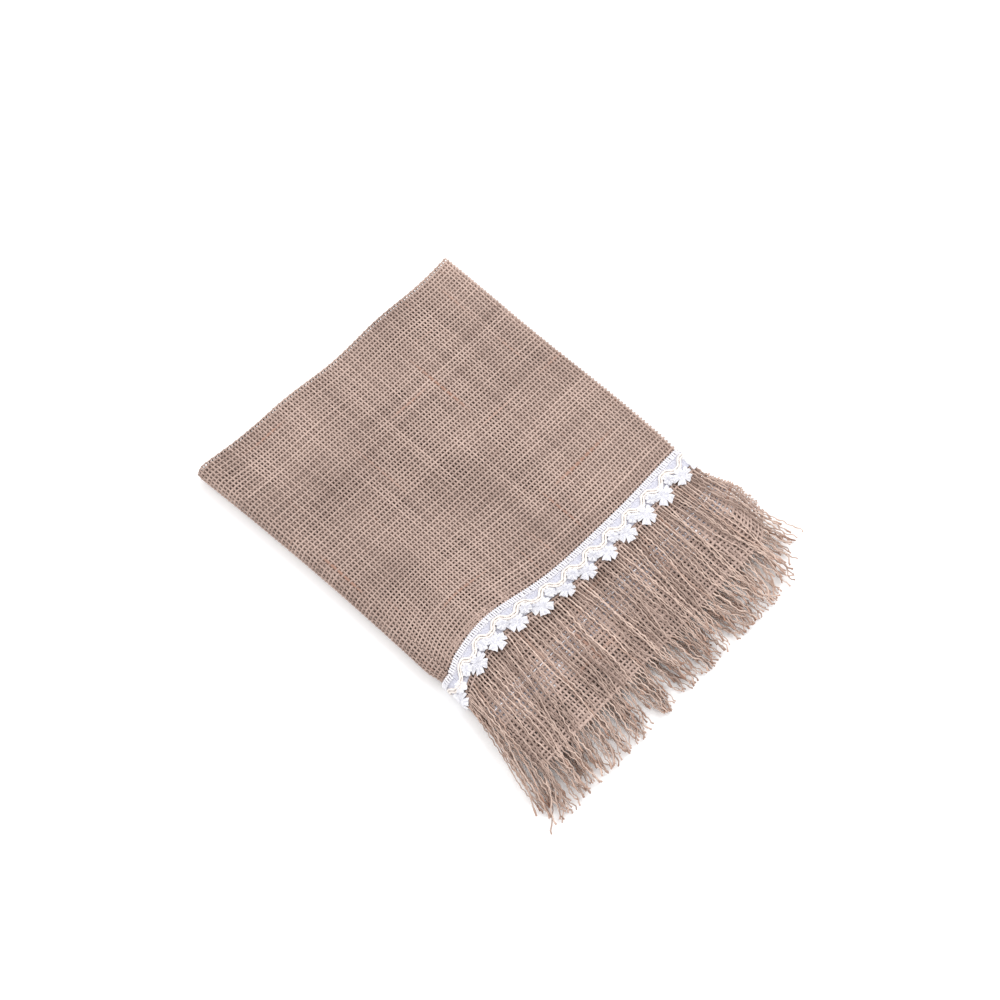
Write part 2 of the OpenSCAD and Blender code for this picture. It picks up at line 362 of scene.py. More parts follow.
def colour(red, green, blue):
    """A paint chip's red, green and blue, from 0 to 255, as linear light."""
    def linear(c):
        c = c / 255
        return c / 12.92 if c <= 0.04045 else ((c + 0.055) / 1.055) ** 2.4
    return (linear(red), linear(green), linear(blue), 1.0)


def jute_material(name, dark, light, rust):
    """Spun jute. Each yarn is lighter or darker, with rusty slubs, and fine fibres along it."""
    paint, tree, place = new_paint(name)
    tone = node(tree, "ShaderNodeAttribute", {"attribute_name": "tone"}, output="Fac")
    slub = node(tree, "ShaderNodeAttribute", {"attribute_name": "slub"}, output="Fac")
    fibres = noise(tree, place, 2600.0, 2.0, 0.6)
    patches = noise(tree, place, 19.0, 3.0, 0.55)
    amount = tone * 0.64 + fibres * 0.42 + patches * 0.6 - 0.32
    clamped = node(tree, "ShaderNodeClamp", None, {"Value": amount})
    spun = blend_colours(tree, slub, blend_colours(tree, clamped, dark, light), rust)
    return finish_paint(paint, spun, 0.88, 0.25, fibres, 0.5, 0.15 * MM)


jute_cloth = jute_material("jute_cloth", colour(116, 95, 87), colour(214, 189, 177),
                           colour(150, 98, 72))


def new_tree(name, main, sizes, counts):
    """A node tree whose named inputs are a mesh, sizes, counts and a material."""
    tree = bpy.data.node_groups.new(name, "GeometryNodeTree")
    tree.interface.new_socket(main, in_out="INPUT", socket_type="NodeSocketGeometry")
    for kind, values in (("NodeSocketFloat", sizes), ("NodeSocketInt", counts)):
        for label, value in values.items():
            made = tree.interface.new_socket(label, in_out="INPUT", socket_type=kind)
            made.default_value = value
    tree.interface.new_socket("Material", in_out="INPUT", socket_type="NodeSocketMaterial")
    tree.interface.new_socket("Made", in_out="OUTPUT", socket_type="NodeSocketGeometry")
    entry = tree.nodes.new("NodeGroupInput")
    return tree, {s.name: Link(tree, s) for s in entry.outputs if s.name}


def end_tree(tree, given, made, smooth=True):
    """Ends a node tree with a real mesh, smooth or crisp, in its material."""
    real = node(tree, "GeometryNodeRealizeInstances", None, {"Geometry": made})
    shaded = node(tree, "GeometryNodeSetShadeSmooth", None,
                  {"Geometry": real, "Shade Smooth": smooth})
    done = node(tree, "GeometryNodeSetMaterial", None,
                {"Geometry": shaded, "Material": given["Material"]})
    way_out = tree.nodes.new("NodeGroupOutput")
    tree.links.new(done.socket, way_out.inputs[0])
    return tree


def stored(tree, name, kind="FLOAT"):
    return node(tree, "GeometryNodeInputNamedAttribute", {"data_type": kind}, {"Name": name})


def thickened(tree, path, sides, width, height, size=1.0):
    """Gives a path an oval section, so wide and so high, with closed ends."""
    ring = node(tree, "GeometryNodeCurvePrimitiveCircle", None,
                {"Resolution": sides, "Radius": 0.5})
    section = node(tree, "GeometryNodeTransform", None,
                   {"Geometry": ring, "Scale": combined(tree, width, height, 1.0)})
    return node(tree, "GeometryNodeCurveToMesh", None,
                {"Curve": path, "Profile Curve": section, "Scale": size, "Fill Caps": True})


def run_tree(name, mesh, tree, values):
    """Runs a node tree on a mesh and keeps its result as a plain mesh object."""
    base = new_object(name + "_base", mesh)
    maker = base.modifiers.new("maker", "NODES")
    maker.node_group = tree
    for item in tree.interface.items_tree:
        if item.item_type == "SOCKET" and item.in_out == "INPUT" and item.name in values:
            maker[item.identifier] = values[item.name]
    graph = bpy.context.evaluated_depsgraph_get()
    made = bpy.data.meshes.new_from_object(base.evaluated_get(graph), depsgraph=graph)
    base.modifiers.remove(maker)
    bpy.data.objects.remove(base)
    bpy.data.meshes.remove(mesh)
    made.name = name
    return new_object(name, made)


def weave_tree():
    """Weaves warp and weft flat, each yarn over one and under the next, then lays every point
    on the cloth's surface by that surface's UV map."""
    tree, given = new_tree(
        "plain_weave", "Cloth",
        {"Length": 100 * MM, "Width": 100 * MM, "Margin": MM, "Warp Width": MM,
         "Weft Width": MM, "Yarn Height": 0.5 * MM, "Unevenness": 0.25, "Wander": 0.4 * MM},
        {"Warp Yarns": 10, "Weft Rows": 10, "Sides": 6, "Phase": 0, "Seed": 1})
    seed = given["Seed"] * 3.71

    def varied(along, yarn, drawn, scale):
        return noise(tree, combined(tree, along, yarn, drawn), scale, 1.0)

    def yarn_set(count, crossings, pitch_across, pitch_along, reach, width, is_warp):
        line = node(tree, "GeometryNodeMeshLine", {"mode": "OFFSET"}, {"Count": count})
        straight = node(tree, "GeometryNodeCurvePrimitiveLine")
        path = node(tree, "GeometryNodeResampleCurve", {"mode": "COUNT"},
                    {"Curve": straight, "Count": crossings + 2})
        placed = node(tree, "GeometryNodeInstanceOnPoints", None,
                      {"Points": line, "Instance": path})
        real = node(tree, "GeometryNodeRealizeInstances", None, {"Geometry": placed})
        number = node(tree, "GeometryNodeCurveOfPoint", output="Curve Index")
        step = node(tree, "GeometryNodeCurveOfPoint", output="Index in Curve")
        along = node(tree, "ShaderNodeClamp", None,
                     {"Value": (step - 0.5) * pitch_along, "Min": 0.0, "Max": reach})
        kind = 0.0 if is_warp else 40.0
        drift = varied(along, (number + kind) * 0.013, seed, 22.0) - 0.5
        jitter = varied(along * 60.0, (number + kind) * 5.17, seed, 1.0) - 0.5
        across = (number + 0.5) * pitch_across + given["Wander"] * (drift * 3.0 + jitter)
        side = node(tree, "ShaderNodeMath", {"operation": "FLOORED_MODULO"},
                    {0: step + number + given["Phase"], 1: 2.0})
        inside = (node(tree, "ShaderNodeMath", {"operation": "GREATER_THAN"}, {0: step, 1: 0.5})
                  * node(tree, "ShaderNodeMath", {"operation": "LESS_THAN"},
                         {0: step, 1: crossings + 0.5}))
        swing = (1.0 - 2.0 * side) * inside * (0.36 if is_warp else -0.64)
        height = swing * given["Yarn Height"]
        first, second = (along, across) if is_warp else (across, along)
        moved = node(tree, "GeometryNodeSetPosition", None,
                     {"Geometry": real, "Position": combined(tree, first, second, height)})
        upright = node(tree, "GeometryNodeSetCurveNormal", {"mode": "Z_UP"}, {"Curve": moved})
        uneven = varied(along * 45.0, (number + kind) * 3.37, seed, 1.0) - 0.5
        lump = varied(along * 16.0, (number + kind) * 7.91, seed + 9.0, 1.0)
        slub = node(tree, "ShaderNodeMapRange", {"interpolation_type": "SMOOTHSTEP"},
                    {"Value": lump, "From Min": 0.68, "From Max": 0.8})
        tone = varied(along * 9.0, (number + kind) * 2.73, seed + 4.0, 1.0)
        toned = node(tree, "GeometryNodeStoreNamedAttribute", None,
                     {"Geometry": upright, "Name": "tone", "Value": (tone - 0.5) * 1.25 + 0.5})
        marked = node(tree, "GeometryNodeStoreNamedAttribute", None,
                      {"Geometry": toned, "Name": "slub", "Value": slub * 0.5})
        size = 1.0 + uneven * given["Unevenness"] * 3.0 + slub * 0.45
        return thickened(tree, marked, given["Sides"], width, given["Yarn Height"], size)

    warp_pitch = given["Width"] / given["Warp Yarns"]
    weft_pitch = given["Length"] / given["Weft Rows"]
    warp = yarn_set(given["Warp Yarns"], given["Weft Rows"], warp_pitch, weft_pitch,
                    given["Length"], given["Warp Width"], True)
    weft = yarn_set(given["Weft Rows"], given["Warp Yarns"], weft_pitch, warp_pitch,
                    given["Width"], given["Weft Width"], False)
    both = tree.nodes.new("GeometryNodeJoinGeometry")
    tree.links.new(weft.socket, both.inputs[0])
    tree.links.new(warp.socket, both.inputs[0])
    place = node(tree, "GeometryNodeInputPosition")
    x, y, z = [node(tree, "ShaderNodeSeparateXYZ", None, {0: place}, i) for i in range(3)]
    u = (x + given["Margin"]) / (given["Length"] + 2.0 * given["Margin"])
    v = (y + given["Margin"]) / (given["Width"] + 2.0 * given["Margin"])
    uv_map = stored(tree, "UVMap", "FLOAT_VECTOR")

    def sample(value):
        return node(tree, "GeometryNodeSampleUVSurface", {"data_type": "FLOAT_VECTOR"},
                    {"Mesh": given["Cloth"], "Value": value, "Source UV Map": uv_map,
                     "Sample UV": combined(tree, u, v)})

    up = sample(stored(tree, "cloth_up", "FLOAT_VECTOR"))
    lifted = node(tree, "ShaderNodeVectorMath", {"operation": "SCALE"}, {0: up, "Scale": z})
    laid = node(tree, "GeometryNodeSetPosition", None,
                {"Geometry": Link(tree, both.outputs[0]), "Position": sample(place) + lifted})
    return end_tree(tree, given, laid)


plain_weave = weave_tree()
warps_across = 91
weft_rows = 79
warp_pitch = flat_w / warps_across
weft_pitch = (front_x - plies_x) / weft_rows
margin = 1.2 * MM


def cloth_surface(name, half, run, length, first_along, width):
    """The smooth middle surface of a piece of the cloth, with its length and width as UVs."""
    rows = max(8, int(length / (2.4 * MM)))
    columns = max(8, int(width / (4 * MM)))
    s = np.linspace(-margin, length + margin, rows + 1)
    along = np.linspace(first_along - margin, first_along + width + margin, columns + 1)
    grid_s, grid_along = [g.ravel() for g in np.meshgrid(s, along, indexing="ij")]
    points = lay(half, run, grid_s, grid_along, 0)
    up = lay(half, run, grid_s, grid_along, 0.25 * MM) - points
    up /= np.linalg.norm(up, axis=1, keepdims=True)
    corner = np.arange(rows * (columns + 1)).reshape(rows, columns + 1)[:, :-1].ravel()
    faces = np.stack([corner, corner + 1, corner + columns + 2, corner + columns + 1], -1)
    mesh = bpy.data.meshes.new(name)
    mesh.from_pydata(points.tolist(), [], faces.tolist())
    mesh.attributes.new("cloth_up", "FLOAT_VECTOR", "POINT").data.foreach_set(
        "vector", up.astype(np.float32).ravel())
    uv = np.stack([(grid_s - s[0]) / (s[-1] - s[0]),
                   (grid_along - along[0]) / (along[-1] - along[0])], -1)
    layer = mesh.uv_layers.new(name="UVMap")
    layer.data.foreach_set("uv", uv[faces.ravel()].astype(np.float32).ravel())
    return mesh


def woven(name, half, run, rows, first_along, width, warp_yarns, sides, phase, seed):
    """One piece of the cloth, woven over its smooth surface."""
    length = rows * weft_pitch
    warp_w, weft_w = (1.2, 1.48) if run == "back" else (0.94, 1.14)
    wander, unevenness = (0.8, 0.5) if run == "back" else (0.35, 0.25)
    mesh = cloth_surface(name, half, run, length, first_along, width)
    piece = run_tree(name, mesh, plain_weave, {
        "Length": length, "Width": width, "Margin": margin, "Warp Width": warp_w * MM,
        "Weft Width": weft_w * MM, "Yarn Height": 0.5 * MM, "Unevenness": unevenness,
        "Wander": wander * MM, "Warp Yarns": warp_yarns, "Weft Rows": rows, "Sides": sides,
        "Phase": phase, "Seed": seed, "Material": jute_cloth})
    if half == "upper":
        piece.data.flip_normals()
    return piece


# For each run: its rows of weft, how many sides a yarn has, and the rows woven before it.
runs = {"front": (82, 6, 0), "front_mid": (79, 6, 82), "back_mid": (79, 4, 161),
        "back": (99, 5, 240)}
stands_for = {"front": ("front_panel", "outer_crossfold"),
              "front_mid": ("front_mid_panel", "middle_crossfold"),
              "back_mid": ("back_mid_panel", "inner_crossfold"),
              "back": ("back_panel",)}
plies = {}
for half_number, half in enumerate(("upper", "lower")):
    for run_number, (run, (rows, sides, rows_before)) in enumerate(runs.items()):
        piece = woven(f"{half}_{run}_panel_cloth", half, run, rows, 0, flat_w, warps_across,
                      sides, rows_before % 2, half_number * 4 + run_number + 1)
        plies[half, run] = piece
        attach(piece, half + "_half")
        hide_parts(*[f"{half}_{cad}" for cad in stands_for[run]])


# ---------------------------------------------------------------- the lengthwise fold
# The same cloth goes on round the lengthwise fold from each lower ply to the upper one. It
# has no seam there, so these strips are woven round the fold.
roll_cloth = {}
for run_number, (run, (rows, sides, rows_before)) in enumerate(runs.items()):
    round_it = math.pi * roll_radius[run]
    piece = woven(f"{run}_panel_roll_cloth", "lower", run, rows, -round_it, round_it,
                  max(1, round(round_it / warp_pitch)), 6, (rows_before + 1) % 2,
                  run_number + 20)
    roll_cloth[run] = piece
    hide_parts(f"{run}_panel_roll")
    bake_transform(piece)


# ---------------------------------------------------------------- the braid's tape
# Each end has a bought braid sewn across it. Its ground is a lilac-grey satin tape, which
# runs from one selvage round the lengthwise fold to the other.
edge_w = trim_high[0] - trim_low[0]
tape_low, tape_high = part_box("lower_front_trim_tape")
tape_w = tape_high[0] - tape_low[0]
tape_t = tape_high[2] - tape_low[2]
braid_start = {"front": trim_low[0], "back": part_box("lower_back_trim_edge")[0][0]}
flat_braids = [("upper", "front"), ("upper", "back"), ("lower", "front"), ("lower", "back")]
all_braids = flat_braids + [("roll", "front"), ("roll", "back")]
end_pieces = {braid: [] for braid in all_braids}


def on_braid(half, end, points):
    """Lays points given from the braid's whipped edge, along it and up from the cloth."""
    x = braid_start[end] + points[:, 0]
    s = front_x - x if end == "front" else x - plies_x
    return lay(half, end, s, points[:, 1], ply_t / 2 + points[:, 2])


def lay_piece(piece, half, end):
    """Moves a piece made flat on the braid to its place on the cloth, facing outwards. The
    roll's part goes on from the lower half."""
    half = "lower" if half == "roll" else half
    count = len(piece.data.vertices)
    flat = np.empty(count * 3, np.float32)
    piece.data.vertices.foreach_get("co", flat)
    placed = on_braid(half, end, flat.reshape(-1, 3).astype(float))
    piece.data.vertices.foreach_set("co", placed.astype(np.float32).ravel())
    turned_over = (end == "front") != (half == "upper")
    if turned_over:
        piece.data.flip_normals()
    piece.data.update()


def ride_end(piece, half, end, slot, *cad):
    """A piece of one end rides with its half, and the roll's part stays where it was laid."""
    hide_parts(*cad)
    if half == "roll":
        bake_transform(piece)
    else:
        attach(piece, half + "_half")
    end_pieces[half, end].append(piece)


def sew_on(piece, half, end, slot, part):
    """Lays a piece on the cloth in the place of one part of the braid. At the fold the whole
    braid is one part, which the tape stands for."""
    lay_piece(piece, half, end)
    if half != "roll":
        ride_end(piece, half, end, slot, f"{half}_{end}_{part}")
    elif part == "trim_tape":
        ride_end(piece, half, end, slot, f"{end}_trim_roll")
    else:
        ride_end(piece, half, end, slot)


def along_range(half, end):
    """Where a half's part of an end's braid starts and stops along it, just clear of the
    fold's own line."""
    if half == "roll":
        return -math.pi * roll_radius[end], 0.0
    return 0.05 * MM, flat_w


def swept(name, outline, stations, material, pleat_h=0.0, pleat_l=1.0):
    """A closed outline of the braid's side view, swept along the braid with closed ends. Its
    upper side can be gathered into pleats."""
    ring = len(outline)
    upper_side = 0.1 * MM
    points = []
    for b in stations:
        pleat = pleat_h * math.cos(2 * math.pi * b / pleat_l)
        points += [(a, b, h + pleat if h > upper_side else h) for a, h in outline]
    faces = []
    for i in range(len(stations) - 1):
        for j in range(ring):
            k = (j + 1) % ring
            faces.append((i * ring + k, i * ring + j, (i + 1) * ring + j, (i + 1) * ring + k))
    faces.append(tuple(range(ring)))
    faces.append(tuple((len(stations) - 1) * ring + j for j in range(ring))[::-1])
    mesh = bpy.data.meshes.new(name)
    mesh.from_pydata(points, [], faces)
    mesh.polygons.foreach_set("use_smooth", [True] * len(faces))
    mesh.materials.append(material)
    return new_object(name, mesh)


def thread_material(name, base, shade, roughness, grain_scale):
    """Satin or cord: a pale colour with soft darker threads and a fine raised grain."""
    paint, tree, place = new_paint(name)
    grain = noise(tree, place, grain_scale, 2.0, 0.6)
    soft = node(tree, "ShaderNodeMapRange", None,
                {"Value": grain, "From Min": 0.35, "From Max": 0.65})
    threads = blend_colours(tree, soft, shade, base)
    return finish_paint(paint, threads, roughness, 0.4, grain, 0.45, 0.1 * MM)


satin_tape = thread_material("satin_tape", colour(203, 203, 213), colour(174, 174, 188), 0.4,
                             1500.0)
across = np.linspace(edge_w * 0.9, edge_w + tape_w, 9)
crown = 0.12 * MM * np.sin(np.linspace(0, math.pi, 9))
tape_outline = [(a, tape_t * 0.8 + c) for a, c in zip(across[::-1], crown[::-1])]
tape_outline += [(a, 0.04 * MM) for a in across]
for half, end in all_braids:
    stations = np.linspace(*along_range(half, end), 56 if half == "roll" else 480)
    piece = swept(f"{half}_{end}_trim_tape_satin", tape_outline, stations, satin_tape,
                  pleat_h=0.11 * MM, pleat_l=1.7 * MM)
    sew_on(piece, half, end, "satin_tape", "trim_tape")


# ---------------------------------------------------------------- the braid's whipped edge
# The tape's inner edge is two white cords, whipped over with thread so closely that it looks
# like a little ladder. Every wrap is the same small loop.
white_thread = thread_material("white_thread", colour(240, 238, 240), colour(212, 211, 220),
                               0.6, 2400.0)
cream_cord = thread_material("cream_cord", colour(246, 239, 234), colour(230, 221, 215), 0.62,
                             2000.0)


def row_of_places(tree, given, across=0.0, height=0.0):
    """Points in a row along the braid."""
    start = combined(tree, across, given["Start"], height)
    return node(tree, "GeometryNodeMeshLine", {"mode": "OFFSET"},
                {"Count": given["Count"], "Start Location": start,
                 "Offset": combined(tree, y=given["Spacing"])})


def draw(tree, seed):
    """A random number from -1 to 1 for each point."""
    return node(tree, "FunctionNodeRandomValue", {"data_type": "FLOAT"},
                {2: -1.0, 3: 1.0, "Seed": seed}, 1)


def set_down(tree, places, shape, turn, size):
    """A copy of a shape at every point, turned and sized."""
    rotation = node(tree, "FunctionNodeEulerToRotation", None, {"Euler": turn})
    many = node(tree, "GeometryNodeInstanceOnPoints", None,
                {"Points": places, "Instance": shape, "Rotation": rotation, "Scale": size})
    return node(tree, "GeometryNodeRealizeInstances", None, {"Geometry": many})


def loops_tree():
    """Repeats one loop of thread along a line and gives it a round section."""
    tree, given = new_tree("loops_of_thread", "Loop",
                           {"Start": 0.0, "Spacing": MM, "Thread": 0.5 * MM, "Unevenness": 0.1},
                           {"Count": 10, "Sides": 5, "Seed": 1})
    line = row_of_places(tree, given)
    lean = draw(tree, given["Seed"])
    grown = draw(tree, given["Seed"] + 7.0)
    turn = combined(tree, z=lean * given["Unevenness"] * 2.0)
    size = combined(tree, 1.0 + grown * given["Unevenness"], 1.0, 1.0)
    path = node(tree, "GeometryNodeMeshToCurve", None, {"Mesh": given["Loop"]})
    loops = set_down(tree, line, path, turn, size)
    return end_tree(tree, given, thickened(tree, loops, given["Sides"], given["Thread"],
                                           given["Thread"]))


loops_of_thread = loops_tree()


def line_mesh(name, points):
    """A plain line through points, for a node tree to give a thickness."""
    mesh = bpy.data.meshes.new(name)
    mesh.from_pydata([tuple(p) for p in points], [(i, i + 1) for i in range(len(points) - 1)],
                     [])
    return mesh


def round_outline(a, h, radius, sides=8):
    turns = np.arange(sides) * 2 * math.pi / sides
    return [(a + radius * math.cos(t), h + radius * math.sin(t)) for t in turns]


def join(name, parts):
    """Joins plain mesh pieces into the first, under one name."""
    for part in bpy.context.selected_objects:
        part.select_set(False)
    for part in parts:
        part.select_set(True)
    bpy.context.view_layer.objects.active = parts[0]
    bpy.ops.object.join()
    parts[0].name = name
    parts[0].data.name = name
    return parts[0]


wrap_spacing = 1.32 * MM
cord_radius = 0.36 * MM
wrap = [(edge_w * (0.65 + 0.66 * math.cos(t)), 0.12 * MM * math.sin(2 * t),
         0.5 * MM + 0.42 * MM * math.sin(t)) for t in np.linspace(0, 2 * math.pi, 13)]
for half, end in all_braids:
    first, last = along_range(half, end)
    stations = np.linspace(first, last, 20 if half == "roll" else 120)
    cords = [swept(f"cord_{i}", round_outline(edge_w * place, 0.42 * MM, cord_radius),
                   stations, white_thread) for i, place in enumerate((0.22, 1.08))]
    wraps = run_tree("wraps", line_mesh("wrap", wrap), loops_of_thread, {
        "Count": int((last - first) / wrap_spacing), "Start": first + wrap_spacing / 2,
        "Spacing": wrap_spacing, "Thread": 0.96 * MM, "Unevenness": 0.06, "Sides": 6,
        "Seed": 3, "Material": white_thread})
    piece = join(f"{half}_{end}_trim_edge_whipping", [*cords, wraps])
    sew_on(piece, half, end, "white_thread", "trim_edge")


# ---------------------------------------------------------------- the braid's wavy cords
# Two cream cords run side by side in waves along the tape, one wave to each rosette. Each is
# a twisted cord, stitched down where it turns.
repeats = 12
ribbon_w = 3.6 * MM
repeat_l = (flat_w + axis_z * math.pi / 2 - ribbon_w) / repeats
wave_a = 6.6 * MM
wave_swing = 2.0 * MM
wave_cord_w = 1.55 * MM


def repeat_place(i):
    """Where along the braid the middle of a wave lies, counted from the selvage."""
    return flat_w - ribbon_w / 2 - (i + 0.5) * repeat_l


def sweep_tree():
    """Gives every line of a mesh a round or oval section that turns and swells along it."""
    tree, given = new_tree("spun_yarn", "Lines", {"Width": MM, "Flatness": 0.8}, {"Sides": 6})
    path = node(tree, "GeometryNodeMeshToCurve", None, {"Mesh": given["Lines"]})
    turned = node(tree, "GeometryNodeSetCurveTilt", None,
                  {"Curve": path, "Tilt": stored(tree, "twist")})
    yarn = thickened(tree, turned, given["Sides"], given["Width"],
                     given["Width"] * given["Flatness"], stored(tree, "thick"))
    return end_tree(tree, given, yarn)


spun_yarn = sweep_tree()


def yarns(name, made, width, flatness, material):
    """One piece of many yarns. Each is its points and its thickness, twist, tone and slub."""
    mesh = bpy.data.meshes.new(name)
    edges = []
    first = 0
    for line, *looks in made:
        edges += [(first + i, first + i + 1) for i in range(len(line) - 1)]
        first += len(line)
    mesh.from_pydata(np.concatenate([line for line, *looks in made]).tolist(), edges, [])
    for number, kind in enumerate(("thick", "twist", "tone", "slub")):
        values = [np.broadcast_to(looks[number], len(line)) for line, *looks in made]
        mesh.attributes.new(kind, "FLOAT", "POINT").data.foreach_set(
            "value", np.concatenate(values).astype(np.float32))
    return run_tree(name, mesh, spun_yarn, {"Width": width, "Flatness": flatness, "Sides": 6,
                                            "Material": material})


pressed_flat = 0.34
for half, end in all_braids:
    first, last = along_range(half, end)
    last = last if half == "roll" else flat_w - 0.5 * MM
    steps = max(12, int((last - first) / repeat_l * 22))
    b = np.linspace(first, last, steps)
    phase = 2 * math.pi * (b - repeat_place(0)) / repeat_l
    swing = wave_swing * (np.cos(phase) - 0.12 * np.cos(3 * phase))
    slope = np.gradient(swing, b)
    offset = wave_cord_w * 0.44
    pressed = 0.0
    if end == "front" and half == "lower":
        pressed = pressed_flat
    elif end == "front" and half == "roll":
        pressed = pressed_flat * (b - first) / (last - first)
    twist = np.linspace(0, (last - first) / (6 * MM) * 2 * math.pi, steps)
    cords = []
    for side in (-1, 1):
        bend_in = np.sqrt(1 + slope ** 2)
        a = wave_a + swing + side * offset / bend_in
        along = b - side * offset * slope / bend_in
        h = tape_t + wave_cord_w * (0.42 - pressed) + 0.08 * MM * np.sin(phase * 2 + side)
        line = np.stack([a, np.clip(along, first, None), h], -1)
        cords.append((line, 1.0, twist, 0.6, 0.0))
    piece = yarns(f"{half}_{end}_trim_wave_cords_twisted", cords, wave_cord_w, 0.8, cream_cord)
    sew_on(piece, half, end, "cream_cord", "trim_wave_cords")


# ---------------------------------------------------------------- the puffs and rosettes
# In each hollow of the wave a narrow white ribbon is gathered into a small puff, and between
# the puffs it is folded into a crinkled rosette that stands out over the fringe.
white_ribbon = thread_material("white_ribbon", colour(236, 235, 237), colour(210, 210, 218),
                               0.5, 900.0)


def ruffle_mesh(name, radius, height, petals, notch, pleats):
    """A gathered ribbon seen from above: petals with straight cut ends round a middle, and
    sharp pleats running out along them."""
    rings, spokes = 4, 60
    points = [(0, 0, height * 0.5)]
    for j in range(1, rings + 1):
        out = j / rings
        for i in range(spokes):
            turn = 2 * math.pi * i / spokes
            place = abs(petals * i / spokes % 1 - 0.5) * 2
            end = 0.88 + 0.18 * place if place < 0.7 else 1 - notch * (place - 0.7) / 0.3
            reach = radius * out * (1 - (1 - end) * out)
            pleat = abs(pleats * i / spokes % 1 - 0.5) * 4 - 1
            rise = height * (0.5 + 0.28 * math.sin(math.pi * out) + 0.3 * pleat * out ** 0.7)
            points.append((reach * math.cos(turn), reach * math.sin(turn), max(rise, 0.05 * MM)))
    top = len(points)
    faces = [(0, 1 + i, 1 + (i + 1) % spokes) for i in range(spokes)]
    for j in range(rings - 1):
        for i in range(spokes):
            k = (i + 1) % spokes
            first, second = 1 + j * spokes, 1 + (j + 1) * spokes
            faces.append((first + i, second + i, second + k, first + k))
    rim = 1 + (rings - 1) * spokes
    for i in range(spokes):
        x, y, z = points[rim + i]
        points.append((x * 0.9, y * 0.9, 0.0))
    points.append((0, 0, 0.0))
    for i in range(spokes):
        k = (i + 1) % spokes
        faces.append((rim + i, top + i, top + k, rim + k))
        faces.append((top + i, len(points) - 1, top + k))
    mesh = bpy.data.meshes.new(name)
    mesh.from_pydata(points, [], faces)
    return mesh


def scatter_tree():
    """Sets one ribbon shape down at regular places, each turned and sized a little apart."""
    tree, given = new_tree("ribbon_repeats", "Ribbon",
                           {"Across": 10 * MM, "Start": 0.0, "Spacing": 10 * MM, "Height": 0.0,
                            "Turning": 0.4, "Unevenness": 0.1}, {"Count": 12, "Seed": 1})
    line = row_of_places(tree, given, given["Across"], given["Height"])
    draws = [draw(tree, given["Seed"] + 11.0 * i) for i in range(6)]
    tilt = 0.16
    turn = combined(tree, draws[1] * tilt, draws[2] * tilt, draws[0] * given["Turning"])
    size = combined(tree, *[1.0 + one * given["Unevenness"] for one in draws[3:]])
    ribbons = set_down(tree, line, given["Ribbon"], turn, size)
    return end_tree(tree, given, ribbons, smooth=False)


ribbon_repeats = scatter_tree()
# How far each braid's puffs and rosettes stand up. The ones under the runner are pressed flat.
puff_room = {("upper", "front"): 1.25, ("lower", "front"): 0.4, ("roll", "front"): 0.8,
             ("upper", "back"): 1.0, ("lower", "back"): 1.0, ("roll", "back"): 1.0}
for half, end in all_braids:
    first, last = along_range(half, end)
    count = repeats - 1 if half != "roll" else 1
    start = repeat_place(count - 1) if half != "roll" else (first + last) / 2
    for kind, a, radius, height, petals, notch, pleats, shift, base, seed in (
            ("puffs", 9.0 * MM, 3.4 * MM, 1.9 * MM, 3, 0.3, 9, 0.5, tape_t, 5),
            ("rosettes", 12.8 * MM, 5.7 * MM, 1.5 * MM, 5, 0.55, 15, 0.06, 0.1 * MM, 9)):
        shape = ruffle_mesh(kind, radius, height * puff_room[half, end], petals, notch, pleats)
        piece = run_tree(f"{half}_{end}_trim_{kind}_ribbon", shape, ribbon_repeats, {
            "Count": count, "Across": a, "Start": start - shift * repeat_l,
            "Spacing": repeat_l, "Height": base, "Turning": 0.5, "Unevenness": 0.12,
            "Seed": seed, "Material": white_ribbon})
        sew_on(piece, half, end, "white_ribbon", f"trim_{kind}")


# ---------------------------------------------------------------- the ribbon at the selvage
# At each selvage the ribbon is folded over the end of the braid and tucked under, so the cut
# end can't fray.
wide, deep = 30, 8
ribbon_a = edge_w + 3.4 * MM
across = np.linspace(ribbon_a, ribbon_a + tape_w, wide)
stations = np.linspace(flat_w - ribbon_w * 0.75, flat_w + 0.5 * MM, deep + 1)
for half, end in flat_braids:
    points, faces = [], []
    for j, b in enumerate(stations):
        fold = math.sin(math.pi * j / deep)
        for a in across / MM:
            crease = math.sin(a * 2.3 + j * 0.7) * 0.16 + math.sin(a * 1.1) * 0.14
            rise = puff_room[half, end] * (0.25 + (0.55 + crease) * fold)
            points.append((a * MM, b + 0.25 * MM * math.sin(a * 1.7), tape_t + rise * MM))
    under = len(points)
    points += [(a, b, 0.05 * MM) for a, b, h in points]
    for j in range(deep):
        for k in range(j * wide, j * wide + wide - 1):
            faces.append((k, k + 1, k + wide + 1, k + wide))
            faces.append((under + k, under + k + wide, under + k + wide + 1, under + k + 1))
    corner = deep * wide
    rim = [*range(wide), *range(2 * wide - 1, corner + wide, wide),
           *range(corner + wide - 2, corner - 1, -1), *range(corner - wide, 0, -wide)]
    for i, k in zip(rim, rim[1:] + rim[:1]):
        faces.append((i, under + i, under + k, k))
    mesh = bpy.data.meshes.new("ribbon_end")
    mesh.from_pydata(points, [], faces)
    mesh.materials.append(white_ribbon)
    piece = new_object(f"{half}_{end}_trim_ribbon_end_fold", mesh)
    sew_on(piece, half, end, "white_ribbon", "trim_ribbon_end")


